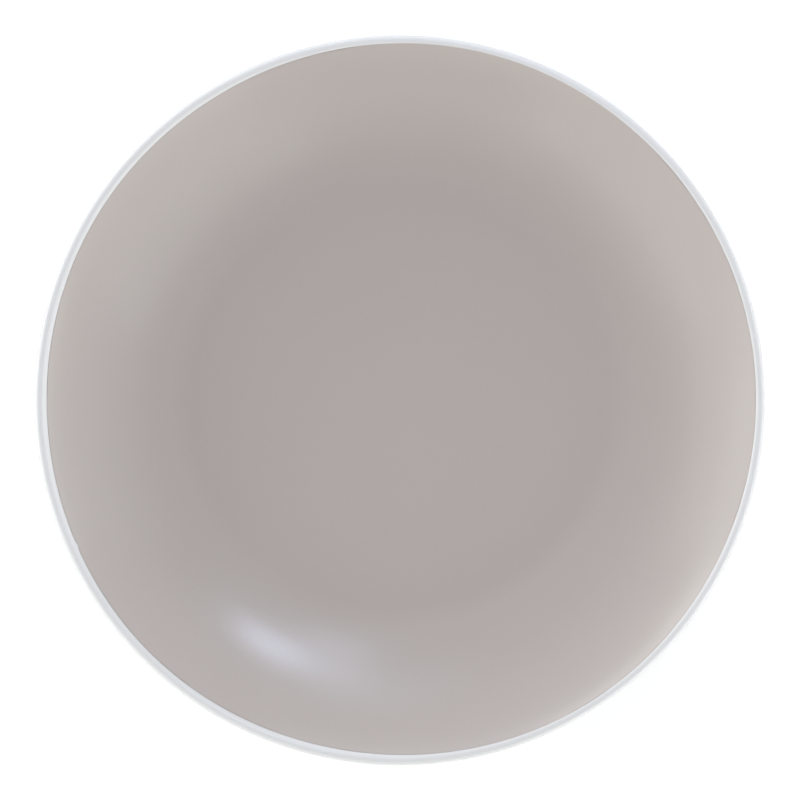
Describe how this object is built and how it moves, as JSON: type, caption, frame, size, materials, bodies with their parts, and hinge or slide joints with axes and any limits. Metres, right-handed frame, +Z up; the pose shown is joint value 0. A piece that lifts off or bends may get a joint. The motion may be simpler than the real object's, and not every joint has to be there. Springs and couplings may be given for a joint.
{
  "type": "serving bowl",
  "caption": "Low round serving bowl with a flat floor, curved wall and foot ring: a white body with a rounded white rim, lined inside with a taupe layer.",
  "frame": {"origin": "on the table, under the middle of the bowl", "axes": "+Z up along the bowl's axis, out of its mouth; +X and +Y are free, since the bowl is round"},
  "size_m": [0.305, 0.305, 0.0391],
  "materials": {
    "white_body": "glossy white moulding, matt where the foot ring rests",
    "taupe_liner": "satin taupe moulding with a very fine speckle"
  },
  "bodies": {
    "root": {"white_body": "white_body", "taupe_liner": "taupe_liner"}
  },
  "joints": []
}
